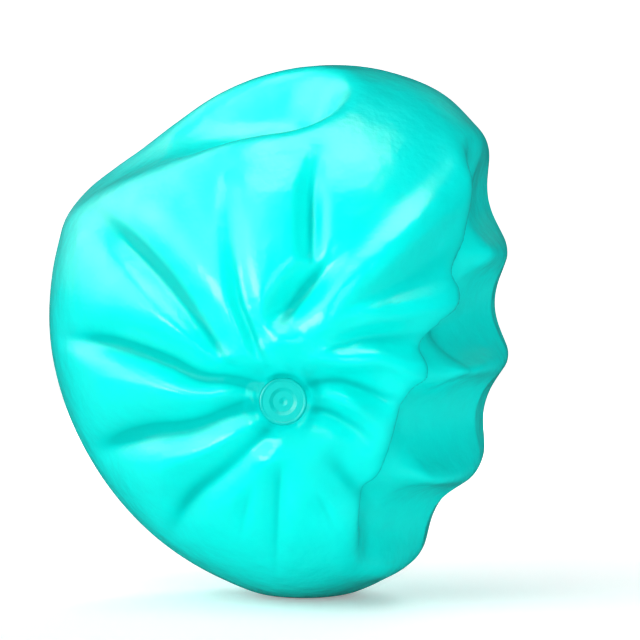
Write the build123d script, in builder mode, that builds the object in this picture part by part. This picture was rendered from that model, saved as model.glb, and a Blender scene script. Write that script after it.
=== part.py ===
from build123d import *
import math
import os

# A squeezed gel ball. The origin is the middle of the flat patch it rests on, +Z is up, and the
# fill plug looks towards -Y. The skin and the gel keep the dents of a gripping hand.

# Driving dimensions, millimetres
WIDTH = 85.4                # across the grip, along X
HEIGHT = 95.0               # along Z, standing on the foot
FOOT_SAG = 1.5              # height lost where the ball flattens on the table
RIM_RADIUS = 38.0           # roundness of the ball's front, top and back, tighter than its sides
SKIN = 2.2                  # wall of the moulded skin
FILM = 0.1                  # gap that keeps the gel clear of everything else

PLUG_HEIGHT = 36.0          # the plug's axis above the table
CRATER_DEPTH = 3.0          # how far the plug's seat lies under the front of the ball
CRATER_RADIUS = 4.6         # radius of the flat seat, from which the crater flares at 45 degrees
BOSS_RADIUS = 7.0           # thick collar inside the skin round the fill hole
BOSS_LENGTH = 8.0
HEAD_RADIUS = 3.4           # mushroom head of the plug
HEAD_THICKNESS = 1.2
STEM_RADIUS = 1.6
BARB_RADIUS = 2.4
BARB_LENGTH = 3.0
BARB_TIP = 1.0              # radius of the barb's blunt end
DISH_RADIUS = 2.3           # shallow dish in the middle of the head
DISH_FLOOR = 1.7
DISH_DEPTH = 0.4
PIT_RADIUS = 0.7            # filling pit in the floor of the dish
PIT_DEPTH = 0.8
GLUE_WIDTH = 0.5            # cured glue round the plug's head
GLUE_RISE = 0.1             # how far the glue stands above the head
PLAY = 0.05                 # clearance of the plug in its hole

# Working dimensions
CENTRE_HEIGHT = (HEIGHT - FOOT_SAG) / 2
HALF_WIDTH = WIDTH / 2
HALF_HEIGHT = (HEIGHT + FOOT_SAG) / 2
RIM_OFFSET = HALF_HEIGHT - RIM_RADIUS
SIDE_RADIUS = (HALF_WIDTH**2 - RIM_RADIUS**2 + RIM_OFFSET**2) / 2 / (HALF_WIDTH - RIM_RADIUS)
SIDE_OFFSET = SIDE_RADIUS - HALF_WIDTH
SIDE_ANGLE = math.degrees(math.atan2(RIM_OFFSET, SIDE_OFFSET))
FRONT_Y = -math.sqrt(HALF_HEIGHT**2 - (PLUG_HEIGHT - CENTRE_HEIGHT) ** 2)
SEAT_Y = FRONT_Y + CRATER_DEPTH
BOSS_Y = SEAT_Y + BOSS_LENGTH
HEAD_Y = SEAT_Y + HEAD_THICKNESS
BARB_Y = BOSS_Y + PLAY
PLUG_AXIS = Axis((0, 0, PLUG_HEIGHT), (0, 1, 0))

# The grip: each finger is a round bar with round ends, from the middle of its tip to its knuckle
GRIP = {
    "index": {"radius": 9.8, "tip": (40.6, -23.0, 70.5), "knuckle": (52.5, 4.0, 72.0)},
    "middle": {"radius": 9.0, "tip": (36.0, -25.0, 51.3), "knuckle": (51.0, 1.0, 52.2)},
    "ring": {"radius": 9.2, "tip": (29.6, -28.0, 31.0), "knuckle": (45.0, -2.0, 31.0)},
    "little": {"radius": 8.2, "tip": (25.0, -25.0, 12.0), "knuckle": (39.0, -3.0, 6.5)},
    "thumb": {"radius": 10.0, "tip": (-1.0, -26.0, 91.0), "knuckle": (-40.0, -17.0, 89.0)},
}


def plug_plane(y):
    """The plane square to the plug's axis at y, facing backwards into the ball."""
    return Plane(origin=(0, y, PLUG_HEIGHT), x_dir=(1, 0, 0), z_dir=(0, 1, 0))


def disc(y, length, radius):
    """A round bar on the plug's axis, from y backwards."""
    with BuildPart() as bar:
        with BuildSketch(plug_plane(y)):
            Circle(radius)
        extrude(amount=length)
    return bar.part


def finger(radius, tip, knuckle):
    """A bar of the given radius with round ends, centred on the line from tip to knuckle."""
    along = Vector(*knuckle) - Vector(*tip)
    middle = Vector(*tip) + along / 2
    with BuildPart() as bar:
        with BuildSketch(Plane(origin=middle, x_dir=along, z_dir=along.cross(Vector(0, 1, 0)))):
            SlotCenterToCenter(along.length, 2 * radius)
            split(bisect_by=Plane.XZ)
        revolve(axis=Axis(middle, along))
    return bar.part


def squeezed_ball(inset):
    """The ball in the grip, with its whole surface moved inwards by inset.

    Pressed along X, it is as deep as it is high: an oval of three arcs turned about the X axis.
    """
    with BuildPart() as ball:
        with BuildSketch(Plane.XZ.shift_origin((0, 0, CENTRE_HEIGHT))):
            with BuildLine():
                right = CenterArc((-SIDE_OFFSET, 0), SIDE_RADIUS - inset, 0, SIDE_ANGLE)
                CenterArc((0, RIM_OFFSET), RIM_RADIUS - inset, SIDE_ANGLE, 180 - 2 * SIDE_ANGLE)
                left = CenterArc((SIDE_OFFSET, 0), SIDE_RADIUS - inset, 180 - SIDE_ANGLE, SIDE_ANGLE)
                Line(left @ 1, right @ 0)
            make_face()
        revolve(axis=Axis((0, 0, CENTRE_HEIGHT), (1, 0, 0)))
        split(bisect_by=Plane.XY.offset(inset), keep=Keep.TOP)
        for digit in GRIP.values():
            add(finger(digit["radius"] + inset, digit["tip"], digit["knuckle"]), mode=Mode.SUBTRACT)
    return ball.part


os.makedirs("parts", exist_ok=True)

# The moulded skin: a closed wall with a crater, and a thick boss behind it for the plug
with BuildPart() as outer_skin:
    add(squeezed_ball(0))
    add(squeezed_ball(SKIN), mode=Mode.SUBTRACT)
    add(disc(SEAT_Y, BOSS_LENGTH, BOSS_RADIUS))
    with BuildSketch(plug_plane(SEAT_Y)):
        Circle(CRATER_RADIUS)
    with BuildSketch(plug_plane(-HALF_HEIGHT)):
        Circle(CRATER_RADIUS + HALF_HEIGHT + SEAT_Y)
    loft(mode=Mode.SUBTRACT)
    add(disc(SEAT_Y, HEAD_THICKNESS, HEAD_RADIUS + GLUE_WIDTH + PLAY), mode=Mode.SUBTRACT)
    add(disc(SEAT_Y, BOSS_LENGTH, STEM_RADIUS + PLAY), mode=Mode.SUBTRACT)
outer_skin.part.label = "outer_skin"
export_step(outer_skin.part, "parts/outer_skin.step")

# The gel: everything inside the skin, with a pocket round the boss and the barb
with BuildPart() as gel_filling:
    add(squeezed_ball(SKIN + FILM))
    add(disc(FRONT_Y, BOSS_Y + FILM - FRONT_Y, BOSS_RADIUS + FILM), mode=Mode.SUBTRACT)
    add(disc(BARB_Y, BARB_LENGTH + FILM, BARB_RADIUS + FILM), mode=Mode.SUBTRACT)
gel_filling.part.label = "gel_filling"
export_step(gel_filling.part, "parts/gel_filling.step")

# The plug: a mushroom head with a dish and a filling pit, a stem, and a barb behind the boss
with BuildPart() as fill_plug:
    with BuildSketch(Plane.XY.offset(PLUG_HEIGHT)):
        with BuildLine():
            Polyline(
                (0, SEAT_Y + PIT_DEPTH),
                (PIT_RADIUS, SEAT_Y + DISH_DEPTH),
                (DISH_FLOOR, SEAT_Y + DISH_DEPTH),
                (DISH_RADIUS, SEAT_Y),
                (HEAD_RADIUS, SEAT_Y),
                (HEAD_RADIUS, HEAD_Y),
                (STEM_RADIUS, HEAD_Y),
                (STEM_RADIUS, BARB_Y),
                (BARB_RADIUS, BARB_Y),
                (BARB_TIP, BARB_Y + BARB_LENGTH),
                (0, BARB_Y + BARB_LENGTH),
                close=True,
            )
        make_face()
    revolve(axis=PLUG_AXIS)
fill_plug.part.label = "fill_plug"
export_step(fill_plug.part, "parts/fill_plug.step")

# The glue: a cured bead in the gap between the plug's head and the wall of its seat
with BuildPart() as plug_adhesive:
    with BuildSketch(Plane.XY.offset(PLUG_HEIGHT)):
        with BuildLine():
            inner = Line((HEAD_RADIUS, HEAD_Y), (HEAD_RADIUS, SEAT_Y))
            crown = ThreePointArc(
                inner @ 1,
                (HEAD_RADIUS + GLUE_WIDTH / 2, SEAT_Y - GLUE_RISE),
                (HEAD_RADIUS + GLUE_WIDTH, SEAT_Y),
            )
            Polyline(crown @ 1, (HEAD_RADIUS + GLUE_WIDTH, HEAD_Y), inner @ 0)
        make_face()
    revolve(axis=PLUG_AXIS)
plug_adhesive.part.label = "plug_adhesive"
export_step(plug_adhesive.part, "parts/plug_adhesive.step")
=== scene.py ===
"""The looks of a squeezed gel ball: a turquoise rubber skin, sculpted in the grip of a hand.

The skin and the gel are sculpted here in millimetres, as surfaces where a level function is
zero, and the plug with its glue stays as CAD drew it. The axes are those of the frame: +Z is up,
the plug looks towards -Y, and the fingertips press in from +X.
"""

import math

import bpy
import numpy as np
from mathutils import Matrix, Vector


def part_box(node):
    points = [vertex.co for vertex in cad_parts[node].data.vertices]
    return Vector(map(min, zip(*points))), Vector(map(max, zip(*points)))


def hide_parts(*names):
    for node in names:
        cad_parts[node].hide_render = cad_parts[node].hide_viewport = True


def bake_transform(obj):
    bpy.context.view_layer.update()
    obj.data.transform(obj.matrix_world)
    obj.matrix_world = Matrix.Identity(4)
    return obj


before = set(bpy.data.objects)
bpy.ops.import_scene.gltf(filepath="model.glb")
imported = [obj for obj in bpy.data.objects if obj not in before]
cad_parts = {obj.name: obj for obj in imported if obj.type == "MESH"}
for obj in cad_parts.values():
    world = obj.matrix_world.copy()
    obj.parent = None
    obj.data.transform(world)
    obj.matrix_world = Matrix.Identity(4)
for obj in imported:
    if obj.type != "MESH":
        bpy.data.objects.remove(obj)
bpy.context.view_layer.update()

MM = 0.001


def box_mm(node):
    """The lowest and highest corners of a CAD node, in millimetres."""
    low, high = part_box(node)
    return np.array(low) / MM, np.array(high) / MM


# The plug stands in a round seat, its barb behind a boss. Y grows from the front to the back.
CLEARANCE = 0.05
BARB_LENGTH = 3.0
BARB_RADIUS = 2.4
STEM_RADIUS = 1.65
BOSS_RADIUS = 7.0
SKIN_WALL = 2.2

# Sizes that come from the frame
SKIN_LOW, SKIN_HIGH = box_mm("outer_skin")
GEL_LOW, _ = box_mm("gel_filling")
PLUG_LOW, PLUG_HIGH = box_mm("fill_plug")
GLUE_LOW, GLUE_HIGH = box_mm("plug_adhesive")
HALF_DEPTH = (SKIN_HIGH[1] - SKIN_LOW[1]) / 2
GEL_INSET = GEL_LOW[2] - SKIN_LOW[2]
PLUG_Z = (PLUG_LOW[2] + PLUG_HIGH[2]) / 2
GLUE_RADIUS = (GLUE_HIGH[0] - GLUE_LOW[0]) / 2
SEAT_RADIUS = GLUE_RADIUS + CLEARANCE
SEAT_Y = PLUG_LOW[1]
HEAD_Y = GLUE_HIGH[1]
BOSS_Y = PLUG_HIGH[1] - BARB_LENGTH - CLEARANCE

# The ball's outline from the front: angle from +X, and distance from the middle in millimetres
MIDDLE_Z = 47.0
OUTLINE = [
    (0, 40.2), (20, 42.2), (42, 48.9), (55, 51.3), (68, 50.5), (80, 48.9), (92, 46.8),
    (105, 44.4), (118, 42.2), (128, 41.6), (136, 42.3), (144, 43.5), (152, 44.1), (160, 43.6),
    (170, 42.8), (182, 42.1), (195, 41.5), (210, 41.4), (224, 42.0), (240, 43.4), (255, 45.2),
    (268, 47.2), (280, 47.9), (290, 47.4), (303, 45.3), (317, 42.6), (335, 40.8), (348, 40.1),
]
PUFF = 2.2                                  # 2 is an ellipse, and more is fuller

# The hand that shaped it. A finger's bones run from the middle of its tip over the knuckles, and
# it goes on round the back as a trough: the heights of the trough at the right and at the back,
# and how deep the finger presses into the smooth ball there.
FINGERS = [
    {"radius": 9.8, "bones": [(40.0, -22, 70.5), (46, -3, 73), (48.2, 5, 74)],
     "trough": (74, 78), "press": 3.4},
    {"radius": 9.0, "bones": [(33.8, -26, 50.3), (45, -9, 52), (48, 5, 53)],
     "trough": (53, 56), "press": 3.0},
    {"radius": 9.2, "bones": [(27.9, -31, 30.2), (42, -12, 31.5), (46.8, 5, 33)],
     "trough": (33, 35), "press": 3.2},
    {"radius": 8.2, "bones": [(21.6, -27, 13.2), (33, -10, 11.5), (35.5, 5, 12.5)],
     "trough": (12.5, 15), "press": 2.4},
]
THUMB = {"radius": 10.0, "bones": [(-1, -26, 88.8), (-24, -23, 87.6), (-48, -10, 80)]}
# A bar past the fingertips, which ends the front lobe in an edge beside them
TIP_LINE = {"radius": 6.0, "bones": [
    (36.2, -24, 74), (34.4, -26, 60), (31.0, -31, 50), (27.4, -35, 41), (24.0, -35, 31),
    (22.2, -34, 25), (18.8, -31, 17), (21.2, -28, 11),
]}
# The palm is a flat press that cuts the ball off beyond this distance in this direction
PALM_DIRECTION = (-0.55, 0.83, -0.08)
PALM_DISTANCE = 36.5

# How round the skin goes into each press, and how it swells beside the fingers and the thumb
FINGER_JOIN = 3.0
HAND_ROUNDING = 6.0
THUMB_ROUNDING = 7.0
PALM_ROUNDING = 14.0
SWELL_HEIGHT = 1.5
SWELL_WIDTH = 5.0
BASE_ROUNDING = 1.2

# The folds are on the front alone, and fade in between these distances in front of the middle
FRONT_START = 4
FRONT_FULL = 24

# Folds that run out from the plug. The path has points as (distance, angle from +X)
# round the plug, and the fold is deepest at the peak. The two widths are those of its clockwise
# and counter-clockwise sides, which grow along it by the flare. The power gives the shape across
# it: 1 is a sharp crease and 2 a soft hollow. A negative depth is a ridge.
FOLDS = [
    # left
    {"path": [(12, 142), (18.5, 136), (25.5, 133.3), (33, 133), (47, 134.6)],
     "depth": 3.4, "peak": 31, "widths": (2.1, 2.0), "power": 1.7, "flare": 0.8},
    {"path": [(4, 150), (9.3, 158), (12.9, 163), (19.6, 161.3), (29.5, 161.3), (40, 163.5)],
     "depth": 4.4, "peak": 22, "widths": (2.4, 1.9), "power": 1.6, "flare": 0.4},
    {"path": [(4, 187), (9, 191), (12.5, 194.7), (23.5, 193.3), (36, 194.8)],
     "depth": 3.8, "peak": 21, "widths": (3.1, 2.5), "power": 1.5, "flare": 0.5},
    {"path": [(4, 243), (9.5, 233.2), (15.6, 228.3), (20, 226.2), (31, 229)],
     "depth": 2.5, "peak": 23, "widths": (2.5, 1.9), "power": 1.5, "flare": 0.6},
    # bottom
    {"path": [(16, 249), (24, 252)],
     "depth": 0.9, "peak": 21, "widths": (1.3, 1.1), "power": 1.3, "flare": 0},
    {"path": [(12, 266.5), (22, 266.7), (30, 267)],
     "depth": 1.4, "peak": 15, "widths": (2.2, 1.0), "power": 1.3, "flare": -0.3},
    {"path": [(17, 290), (24, 291.5)],
     "depth": 0.7, "peak": 20, "widths": (1.2, 1.0), "power": 1.3, "flare": 0},
    {"path": [(12, 309), (24, 308)],
     "depth": 1.5, "peak": 18, "widths": (3.0, 3.0), "power": 2, "flare": 0},
    # right
    {"path": [(4, 346), (7.4, 348.3), (10.2, 345), (13.3, 341), (17, 336)],
     "depth": 1.6, "peak": 9, "widths": (1.8, 1.4), "power": 1.5, "flare": 0.3},
    {"path": [(4, 36), (9.8, 20.8), (13.1, 11), (15.7, 5), (20, 0)],
     "depth": 2.1, "peak": 12, "widths": (1.7, 1.7), "power": 1.5, "flare": 0.4},
    {"path": [(11, 49), (16, 38.7), (21, 30.2), (29, 22.5)],
     "depth": 1.3, "peak": 21, "widths": (2.1, 1.6), "power": 1.6, "flare": 0.6},
    {"path": [(23, 45), (37.5, 42), (43, 43)],
     "depth": 0.9, "peak": 35, "widths": (3.8, 3.0), "power": 2, "flare": 0.2},
    # top
    {"path": [(13, 89), (18, 79.5), (26, 72)],
     "depth": 3.6, "peak": 18, "widths": (2.2, 3.2), "power": 2, "flare": 0},
    {"path": [(23, 78.5), (25, 79.5), (31, 81.5), (37, 82.6), (43, 82.3)],
     "depth": 2.5, "peak": 31, "widths": (1.4, 1.4), "power": 1.5, "flare": 0.1},
    {"path": [(8, 114), (12.7, 113.2), (17.2, 112.8), (23, 109.9), (34.3, 105.4), (40, 103.6)],
     "depth": 1.4, "peak": 14, "widths": (1.8, 1.2), "power": 1.6, "flare": -0.3},
    # ridges, from the right round to the bottom
    {"path": [(8, 5), (10.7, -1), (15.7, -9)],
     "depth": -1.0, "peak": 12, "widths": (1.3, 1.4), "power": 2, "flare": 0},
    {"path": [(9, 43), (11.8, 34), (16.8, 25.5), (21.9, 14.5), (28, 7.5)],
     "depth": -2.0, "peak": 19, "widths": (1.6, 2.0), "power": 2, "flare": 0.2},
    {"path": [(12, 60), (16, 51.5), (21.8, 41), (28, 34), (39, 28.8)],
     "depth": -2.1, "peak": 28, "widths": (1.8, 2.3), "power": 2, "flare": 0.2},
    {"path": [(14, 70), (19, 62.5), (25, 56), (34.5, 52), (45, 50.5), (57, 52.5)],
     "depth": -2.3, "peak": 35, "widths": (2.3, 3.0), "power": 2, "flare": 0.3},
    {"path": [(8, 92), (12, 90)],
     "depth": -0.9, "peak": 10, "widths": (3.2, 3.2), "power": 2, "flare": 0},
    {"path": [(14, 149), (24, 147), (34, 147)],
     "depth": -0.7, "peak": 22, "widths": (2.6, 2.6), "power": 2, "flare": 0.5},
    {"path": [(8, 172), (14, 175), (26, 178)],
     "depth": -0.9, "peak": 15, "widths": (1.6, 2.0), "power": 2, "flare": 0.5},
    {"path": [(10, 206), (18, 205), (28, 204)],
     "depth": -0.6, "peak": 18, "widths": (2.2, 2.2), "power": 2, "flare": 0.3},
    {"path": [(8, 256), (13, 252)],
     "depth": -0.6, "peak": 11, "widths": (2.2, 2.2), "power": 2, "flare": 0},
]


def smoothstep(low, high, value):
    """0 below low, 1 above high, and an even S between them."""
    t = np.clip((value - low) / (high - low), 0, 1)
    return t * t * (3 - 2 * t)


def smooth_max(a, b, radius):
    """The larger of a and b, with the edge between them rounded over about radius."""
    h = np.clip(0.5 + 0.5 * (a - b) / radius, 0, 1)
    return b + (a - b) * h + radius * h * (1 - h)


def curve_through(points, period=None):
    """A smooth curve y(x) through (x, y) points, repeating with the period if there is one."""
    xs, ys = np.array(points, float).T
    if period:
        xs = np.concatenate([xs[-2:] - period, xs, xs[:2] + period])
        ys = np.concatenate([ys[-2:], ys, ys[:2]])
    slopes = np.gradient(ys, xs)

    def curve(x):
        x = x % period if period else np.clip(x, xs[0], xs[-1])
        i = np.clip(np.searchsorted(xs, x) - 1, 0, len(xs) - 2)
        gap = xs[i + 1] - xs[i]
        t = (x - xs[i]) / gap
        rise = ys[i + 1] - ys[i]
        a = slopes[i] * gap - rise
        b = rise - slopes[i + 1] * gap
        return ys[i] + t * rise + t * (1 - t) * ((1 - t) * a + t * b)

    return curve


outline = curve_through(OUTLINE, period=360)


def body_level(p):
    """How far p lies outside the smooth ball, in about millimetres, negative inside."""
    x, y, z = p.T
    up = z - MIDDLE_Z
    across = np.hypot(x, up) / outline(np.degrees(np.arctan2(up, x)))
    along = np.abs(y) / HALF_DEPTH
    return ((across**PUFF + along**PUFF) ** (1 / PUFF) - 1) * HALF_DEPTH


def halve(origins, directions, level, low, high, steps):
    """Where each ray leaves the level function's surface, between low and high along the ray."""
    for _ in range(steps):
        middle = (low + high) / 2
        inside = level(origins + directions * middle[:, None]) < 0
        low = np.where(inside, middle, low)
        high = np.where(inside, high, middle)
    return low


def reach(origins, directions, level):
    """Where each ray from inside leaves the surface, which lies close to the smooth ball's."""
    ends = np.ones(len(directions))
    smooth = halve(origins, directions, body_level, ends, 90 * ends, steps=14)
    return halve(origins, directions, level, np.maximum(smooth - 30, 1), smooth + 5, steps=17)


def bones_distance(p, bones, radius):
    """The distance from p to a chain of round bars."""
    nearest = np.full(len(p), np.inf)
    for start, end in zip(bones, bones[1:]):
        start = np.array(start, float)
        bone = np.array(end, float) - start
        t = np.clip((p - start) @ bone / (bone @ bone), 0, 1)
        nearest = np.minimum(nearest, np.linalg.norm(p - start - t[:, None] * bone, axis=1))
    return nearest - radius


FULL_LIFT = 25


def trough_distance(finger):
    """A function for the distance from p to the part of a finger that wraps round the back.

    The turn goes from +X at 0 to +Y, which is the back, at 90 degrees. Past the ends of the
    trough the finger is lifted off the ball.
    """
    turn = np.radians(np.arange(-90, 271, 3.0))
    right, back = finger["trough"]
    heights = right + (back - right) * np.sin(np.clip(turn, -0.2, math.pi / 2))
    directions = np.stack([np.cos(turn), np.sin(turn), np.zeros_like(turn)], axis=1)
    origins = np.stack([np.zeros_like(turn), np.zeros_like(turn), heights], axis=1)
    surface = reach(origins, directions, body_level)
    lift = smoothstep(math.radians(105), math.radians(150), turn)
    lift += smoothstep(math.radians(5), math.radians(-20), turn)
    axis_out = surface + finger["radius"] - finger["press"] + FULL_LIFT * lift

    def distance(p):
        angle = (np.arctan2(p[:, 1], p[:, 0]) + math.pi / 2) % (2 * math.pi) - math.pi / 2
        out = np.hypot(p[:, 0], p[:, 1]) - np.interp(angle, turn, axis_out)
        return np.hypot(out, p[:, 2] - np.interp(angle, turn, heights)) - finger["radius"]

    return distance


troughs = [trough_distance(finger) for finger in FINGERS]


FOLD_ROUNDING = 0.8
CREASE_WIDTH = 0.42                         # of the fold's own width


def folds(x, z):
    """The folds at each point of the front: the valleys' depth, the ridges' height, the creases.

    Away from its peak a fold drops to half its depth, and it fades in round its start and out
    round its end. Where valleys meet, the deeper one wins. A crease is a valley's narrow bottom,
    where the skin's material paints shade into the colour.
    """
    r = np.hypot(x, z - PLUG_Z)
    angle = np.degrees(np.arctan2(z - PLUG_Z, x))
    valleys, ridges, creases = np.zeros((3, len(r)))
    for fold in FOLDS:
        path = curve_through(fold["path"])
        start, end = fold["path"][0][0], fold["path"][-1][0]
        aside = np.radians((angle - path(r) + 180) % 360 - 180) * r
        spread = 1 + fold["flare"] * np.clip((r - start) / (end - start), 0, 1)
        width = np.where(aside < 0, fold["widths"][0], fold["widths"][1]) * spread
        rounded = np.hypot(aside, FOLD_ROUNDING) - FOLD_ROUNDING
        shape = np.exp(-((rounded / width) ** fold["power"]))
        fade = smoothstep(start - 3, start + 3, r) * (1 - smoothstep(0.72 * end, 1.12 * end, r))
        fade *= 0.5 + 0.5 * np.exp(-(((r - fold["peak"]) / (0.4 * (end - start))) ** 2))
        if fold["depth"] > 0:
            valleys += (fold["depth"] * fade * shape) ** 3
            bottom = np.exp(-((aside / (CREASE_WIDTH * width)) ** 2))
            creases = np.maximum(creases, fold["depth"] * fade * bottom)
        else:
            ridges += fold["depth"] * fade * shape
    return np.cbrt(valleys), -ridges, creases


def on_front(y):
    return smoothstep(FRONT_START, FRONT_FULL, -y)


def press_hand(level, p):
    """The level with the fingers, the thumb and the palm pressed in."""
    hand = bones_distance(p, TIP_LINE["bones"], TIP_LINE["radius"])
    for finger, trough in zip(FINGERS, troughs):
        hand = -smooth_max(-hand, -bones_distance(p, finger["bones"], finger["radius"]), FINGER_JOIN)
        hand = -smooth_max(-hand, -trough(p), FINGER_JOIN)
    thumb = bones_distance(p, THUMB["bones"], THUMB["radius"])
    for distance, rounding in ((hand, HAND_ROUNDING), (thumb, THUMB_ROUNDING)):
        level = level - SWELL_HEIGHT * np.exp(-((distance / SWELL_WIDTH) ** 2))
        level = smooth_max(level, -distance, rounding)
    return smooth_max(level, p @ np.array(PALM_DIRECTION) - PALM_DISTANCE, PALM_ROUNDING)


def pucker(turn, r):
    """The height of the puckered collar round the seat: uneven waves that twist as they run out."""
    waves = 0.5 + 0.3 * np.sin(2 * turn + 0.6) + 0.16 * np.sin(5 * turn + 2.0 + 0.6 * r)
    waves += 0.06 * np.sin(11 * turn + 1.0 - 0.7 * r)
    return 1.1 * waves * np.exp(-(((r - SEAT_RADIUS - 1.0) / 1.1) ** 2))


def skin_level(p):
    """How far p lies outside the finished skin, in about millimetres, negative inside."""
    x, y, z = p.T
    level = press_hand(body_level(p), p)
    r = np.hypot(x, z - PLUG_Z)
    pinch = 1.7 * np.exp(-((r / 14.0) ** 2)) + 1.4 * np.exp(-((r / 6.0) ** 2))
    valleys, ridges, _ = folds(x, z)
    level = level + on_front(y) * (valleys - ridges + pinch)
    level = level - on_front(y) * pucker(np.arctan2(z - PLUG_Z, x), r)
    seat = (1 - smoothstep(SEAT_RADIUS - 0.1, SEAT_RADIUS + 0.9, r)) * (y < 0)
    level = level * (1 - seat) + (SEAT_Y - y) * seat
    return smooth_max(level, -z, BASE_ROUNDING)


SPOKES = 480
PHI = np.linspace(0, 2 * math.pi, SPOKES, endpoint=False)


def spokes(theta):
    """Rays from inside the ball, one ring of them for each angle theta from the plug's axis.

    The front rings start at the plug's height, and the back rings at the ball's middle.
    """
    theta, phi = np.meshgrid(theta, PHI, indexing="ij")
    across, along = np.sin(theta), -np.cos(theta)
    directions = np.stack([across * np.cos(phi), along, across * np.sin(phi)], axis=-1)
    origins = np.zeros_like(directions)
    origins[..., 2] = PLUG_Z + (MIDDLE_Z - PLUG_Z) * smoothstep(0.4, 1.5, theta)
    return origins.reshape(-1, 3), directions.reshape(-1, 3)


def shell_rings(theta, level):
    """Rings on the level function's surface, one for each angle theta."""
    origins, directions = spokes(theta)
    points = origins + directions * reach(origins, directions, level)[:, None]
    return points.reshape(len(theta), SPOKES, 3)


def lathe_rings(profile):
    """Rings round the plug's axis from (radius, y) pairs."""
    return np.array([
        np.stack([radius * np.cos(PHI), np.full(SPOKES, y), PLUG_Z + radius * np.sin(PHI)], axis=1)
        for radius, y in profile
    ])


def ring_angles(first, fine, coarse):
    """Angles from the plug's axis, closest together round the plug and coarse at the back."""
    angles = [first]
    while angles[-1] < math.pi - coarse:
        step = fine * (0.4 + 0.6 * smoothstep(0.1, 0.3, angles[-1]))
        step += (coarse - fine) * smoothstep(1.2, 2.4, angles[-1])
        angles.append(angles[-1] + float(step))
    return np.array(angles[:-1])


def closed_mesh(name, rings):
    """A closed mesh from rings, with a single point at each end."""
    points = rings.reshape(-1, 3)
    ends = np.array([rings[0].mean(axis=0), rings[-1].mean(axis=0)])
    grid = np.arange(len(points)).reshape(-1, SPOKES)
    ahead = np.roll(grid, -1, axis=1)
    quads = np.stack([grid[:-1], grid[1:], ahead[1:], ahead[:-1]], axis=-1).reshape(-1, 4)
    first, last = len(points), len(points) + 1
    caps = [(first, grid[0][i], ahead[0][i]) for i in range(SPOKES)]
    caps += [(last, ahead[-1][i], grid[-1][i]) for i in range(SPOKES)]
    mesh = bpy.data.meshes.new(name)
    mesh.from_pydata(np.vstack([points, ends]) * MM, [], [tuple(f) for f in quads] + caps)
    mesh.polygons.foreach_set("use_smooth", [True] * len(mesh.polygons))
    mesh.update()
    piece = bpy.data.objects.new(name, mesh)
    bpy.context.scene.collection.objects.link(piece)
    return piece


def cavity_level(p):
    """The inside of the skin: a wall's thickness in, and clear of the boss round the bore."""
    boss = np.maximum(np.hypot(p[:, 0], p[:, 2] - PLUG_Z) - BOSS_RADIUS, p[:, 1] - BOSS_Y)
    return smooth_max(skin_level(p) + SKIN_WALL, -boss, 0.8)


def gel_level(p):
    """The gel, a thin film short of the skin, of the boss and of the plug's barb."""
    r = np.hypot(p[:, 0], p[:, 2] - PLUG_Z)
    film = GEL_INSET - SKIN_WALL
    boss = np.maximum(r - BOSS_RADIUS - 0.5, p[:, 1] - BOSS_Y - film)
    barb = np.maximum(r - BARB_RADIUS - film, p[:, 1] - BOSS_Y - BARB_LENGTH - 2 * film)
    return smooth_max(skin_level(p) + GEL_INSET, -np.minimum(boss, barb), 0.6)


def make_skin():
    """The skin's outside, its seat and bore for the plug, and its inside, as one closed wall.

    Its crease attribute says how deep each point lies in a crease, or in the pinch at the plug.
    The skin's material paints shade with it: the colour darkens there.
    """
    outside = shell_rings(ring_angles(math.atan2(SEAT_RADIUS, -SEAT_Y), 0.0105, 0.022), skin_level)
    seat = lathe_rings([
        (GLUE_RADIUS, SEAT_Y + 0.15),
        (GLUE_RADIUS, HEAD_Y),
        (STEM_RADIUS, HEAD_Y),
        (STEM_RADIUS, BOSS_Y),
    ])
    inside = shell_rings(ring_angles(math.atan2(STEM_RADIUS + 0.6, -BOSS_Y), 0.03, 0.045), cavity_level)
    piece = closed_mesh("skin", np.concatenate([outside[::-1], seat, inside]))
    points = np.array([v.co for v in piece.data.vertices]) / MM
    r = np.hypot(points[:, 0], points[:, 2] - PLUG_Z)
    # Painted shade: the creases, and a pool round the plug, darken the skin's colour by this.
    crease = folds(points[:, 0], points[:, 2])[2] + 2.4 * np.exp(-((r / 6.5) ** 2))
    crease *= on_front(points[:, 1])
    piece.data.attributes.new("crease", "FLOAT", "POINT").data.foreach_set("value", crease)
    return piece


skin = make_skin()
gel = closed_mesh("gel", shell_rings(ring_angles(0.02, 0.04, 0.06), gel_level)[::-1])


# ---------------------------------------------------------------- materials

def new_material(name):
    material = bpy.data.materials.new(name)
    material.use_nodes = True
    nodes = material.node_tree.nodes
    return material, nodes, material.node_tree.links, nodes["Principled BSDF"]


def map_range(nodes, links, value, **ends):
    """A Map Range node on a value, with the ends that differ from 0 and 1."""
    node = nodes.new("ShaderNodeMapRange")
    for end, number in ends.items():
        node.inputs[end.replace("_", " ").title()].default_value = number
    links.new(value, node.inputs["Value"])
    return node.outputs["Result"]


def mix_colours(nodes, links, factor):
    mix = nodes.new("ShaderNodeMix")
    mix.data_type = "RGBA"
    links.new(factor, mix.inputs["Factor"])
    return mix


def noise(nodes, links, scale, detail):
    """Noise in the object's own space, which has scale cells to a metre."""
    place = nodes.new("ShaderNodeTexCoord")
    texture = nodes.new("ShaderNodeTexNoise")
    texture.inputs["Scale"].default_value = scale
    texture.inputs["Detail"].default_value = detail
    links.new(place.outputs["Object"], texture.inputs["Vector"])
    return texture.outputs["Fac"]


def bump(nodes, links, height, strength, distance):
    node = nodes.new("ShaderNodeBump")
    node.inputs["Strength"].default_value = strength
    node.inputs["Distance"].default_value = distance
    links.new(height, node.inputs["Height"])
    return node


# Painted shade: the share of the skin's colour that is left at the bottom of a crease.
CREASE_SHADE = 0.56


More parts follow.
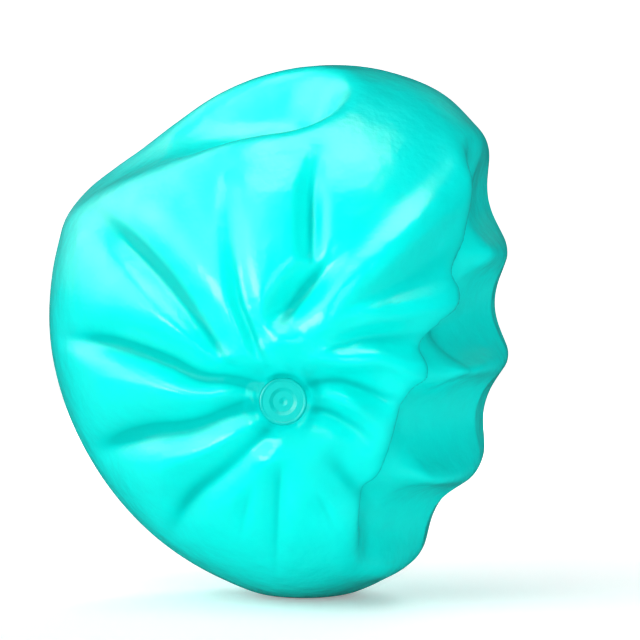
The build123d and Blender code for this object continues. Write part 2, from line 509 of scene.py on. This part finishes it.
def rubber(name, colour, deep, roughness, shine):
    """Satin rubber: cloudy colour, an uneven hand-worn sheen, fine grain, and duller creases with
    painted shade.
    """
    material, nodes, links, surface = new_material(name)
    crease = nodes.new("ShaderNodeAttribute")
    crease.attribute_name = "crease"
    crease_depth = crease.outputs["Fac"]
    cloud = noise(nodes, links, scale=110, detail=5)

    tint = mix_colours(nodes, links, cloud)
    tint.inputs["A"].default_value = (*colour, 1)
    tint.inputs["B"].default_value = (*deep, 1)
    # Painted shade: the colour darkens where the crease attribute is high, in the creases and round the
    # plug.
    shade = mix_colours(nodes, links, map_range(nodes, links, crease_depth, from_max=2.3))
    links.new(tint.outputs["Result"], shade.inputs["A"])
    shade.inputs["B"].default_value = (*[CREASE_SHADE * channel for channel in colour], 1)
    links.new(shade.outputs["Result"], surface.inputs["Base Color"])

    fine = bump(nodes, links, noise(nodes, links, scale=2600, detail=2), 0.06, 0.0001)
    broad = bump(nodes, links, noise(nodes, links, scale=260, detail=5), 0.5, 0.0005)
    links.new(fine.outputs["Normal"], broad.inputs["Normal"])
    links.new(broad.outputs["Normal"], surface.inputs["Normal"])

    wear = map_range(nodes, links, cloud, to_min=roughness - 0.06, to_max=roughness + 0.08)
    links.new(wear, surface.inputs["Roughness"])
    gloss = map_range(nodes, links, crease_depth, from_max=1.5, to_min=shine, to_max=0.02)
    links.new(gloss, surface.inputs["Specular IOR Level"])
    return material


skin_rubber = rubber("skin_rubber", (0.0, 0.86, 0.79), (0.0, 0.83, 0.76), 0.16, 0.42)
plug_rubber = rubber("plug_rubber", (0.0, 0.56, 0.51), (0.0, 0.52, 0.47), 0.40, 0.12)
gel_clear = rubber("gel_clear", (0.72, 0.9, 0.88), (0.6, 0.86, 0.84), 0.15, 0.50)
glue_clear = rubber("glue_clear", (0.0, 0.54, 0.50), (0.0, 0.50, 0.46), 0.30, 0.15)

skin.data.materials.append(skin_rubber)
gel.data.materials.append(gel_clear)
for node, material in (("fill_plug", plug_rubber), ("plug_adhesive", glue_clear)):
    for material_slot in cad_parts[node].material_slots:
        material_slot.material = material

# ---------------------------------------------------------------- in place of the CAD skin and gel

# The sculpted skin and gel take the place of the CAD skin and gel, which are hidden.
for piece, node, slot in ((skin, "outer_skin", "skin"), (gel, "gel_filling", "gel")):
    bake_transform(piece)
    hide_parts(node)

# ---------------------------------------------------------------- stage, light and camera

def make_floor():
    """A pale floor that sweeps up all round, and glows for the camera alone, more further out."""
    flat, bend, height, sides = 1.8, 0.6, 2.2, 96
    profile = [(0.6, 0.0), (1.2, 0.0), (flat, 0.0)]
    for step in range(1, 17):
        turn = math.pi / 2 * step / 16
        profile.append((flat + bend * math.sin(turn), bend - bend * math.cos(turn)))
    profile.append((flat + bend, height))
    turns = [2 * math.pi * side / sides for side in range(sides)]
    points = [(r * math.cos(turn), r * math.sin(turn), z) for r, z in profile for turn in turns]
    faces = [tuple(range(sides))]
    for ring in range(0, (len(profile) - 1) * sides, sides):
        for side in range(sides):
            ahead = (side + 1) % sides
            faces.append((ring + side, ring + sides + side, ring + sides + ahead, ring + ahead))
    mesh = bpy.data.meshes.new("floor")
    mesh.from_pydata(points, [], faces)
    mesh.polygons.foreach_set("use_smooth", [True] * len(faces))
    floor = bpy.data.objects.new("floor", mesh)
    bpy.context.scene.collection.objects.link(floor)
    material, nodes, links, surface = new_material("paper_white")
    surface.inputs["Base Color"].default_value = (0.9, 0.9, 0.9, 1)
    surface.inputs["Roughness"].default_value = 0.9
    surface.inputs["Specular IOR Level"].default_value = 0.1
    surface.inputs["Emission Color"].default_value = (1, 1, 1, 1)
    place = nodes.new("ShaderNodeTexCoord")
    distance = nodes.new("ShaderNodeVectorMath")
    distance.operation = "LENGTH"
    links.new(place.outputs["Object"], distance.inputs[0])
    glow = map_range(
        nodes, links, distance.outputs["Value"], from_min=0.2, from_max=1.2, to_min=0.30, to_max=0.95,
    )
    path = nodes.new("ShaderNodeLightPath")
    seen = nodes.new("ShaderNodeMath")
    seen.operation = "MULTIPLY"
    links.new(glow, seen.inputs[0])
    links.new(path.outputs["Is Camera Ray"], seen.inputs[1])
    links.new(seen.outputs["Value"], surface.inputs["Emission Strength"])
    mesh.materials.append(material)
    floor.visible_glossy = False


def add_lamp(name, data, place):
    """A lamp aimed at the ball."""
    lamp = bpy.data.objects.new(name, data)
    lamp.location = place
    lamp.rotation_euler = (Vector((0, 0, 0.05)) - Vector(place)).to_track_quat("-Z", "Y").to_euler()
    lamp.visible_camera = False
    bpy.context.scene.collection.objects.link(lamp)
    return lamp


def softbox(name, place, size, light=0.0, sheen=0.0):
    """A softbox in two parts: one lamp that only lights the ball, and one that only shows in it."""
    for part, power in (("light", light), ("sheen", sheen)):
        if power == 0:
            continue
        data = bpy.data.lights.new(f"{name}_{part}", "AREA")
        data.shape = "RECTANGLE"
        data.size, data.size_y = size
        data.energy = power
        lamp = add_lamp(f"{name}_{part}", data, place)
        lamp.visible_glossy = part == "sheen"
        lamp.visible_diffuse = part == "light"


def make_world(seen, lighting):
    """The room: one brightness where the camera looks past the floor, and another as a light."""
    world = bpy.data.worlds.new("studio")
    bpy.context.scene.world = world
    world.use_nodes = True
    nodes, links = world.node_tree.nodes, world.node_tree.links
    path = nodes.new("ShaderNodeLightPath")
    strength = map_range(nodes, links, path.outputs["Is Camera Ray"], to_min=lighting, to_max=seen)
    links.new(strength, nodes["Background"].inputs["Strength"])
    nodes["Background"].inputs["Color"].default_value = (1, 1, 1, 1)


# Places in metres and powers in watts. The window and the glint give the highlights on the left.
make_floor()
make_world(seen=0.95, lighting=0.02)
softbox("fill", (0.20, -0.95, 0.08), (0.35, 0.35), light=6.2)
softbox("low", (-0.72, -0.60, 0.08), (0.30, 0.30), light=3.3)
softbox("behind", (0.30, 0.95, 0.45), (0.45, 0.45), light=8.0)
softbox("front", (-0.36, -0.52, 0.62), (0.50, 0.50), light=1.8)
softbox("window", (-0.69, -0.27, 0.30), (1.20, 0.85), light=1.5, sheen=62.0)
softbox("glint", (-0.54, -0.58, 0.10), (0.38, 0.34), sheen=2.8)
softbox("rim", (-0.56, 0.37, 0.45), (0.60, 0.60), light=0.6, sheen=20.0)
softbox("top", (-0.02, -0.20, 0.80), (0.70, 0.44), light=1.6, sheen=18.0)

# The camera looks level along +Y, and the frame's width is the one at the ball's middle
CAMERA_X = 0.0061
CAMERA_Z = 0.0495
CAMERA_DISTANCE = 0.55
FRAME_WIDTH = 0.1152

camera = bpy.data.objects.new("camera", bpy.data.cameras.new("camera"))
bpy.context.scene.collection.objects.link(camera)
camera.location = (CAMERA_X, -CAMERA_DISTANCE, CAMERA_Z)
camera.rotation_euler = (math.pi / 2, 0, 0)
camera.data.lens = camera.data.sensor_width * CAMERA_DISTANCE / FRAME_WIDTH
bpy.context.scene.camera = camera
bpy.context.scene.view_settings.view_transform = "Standard"
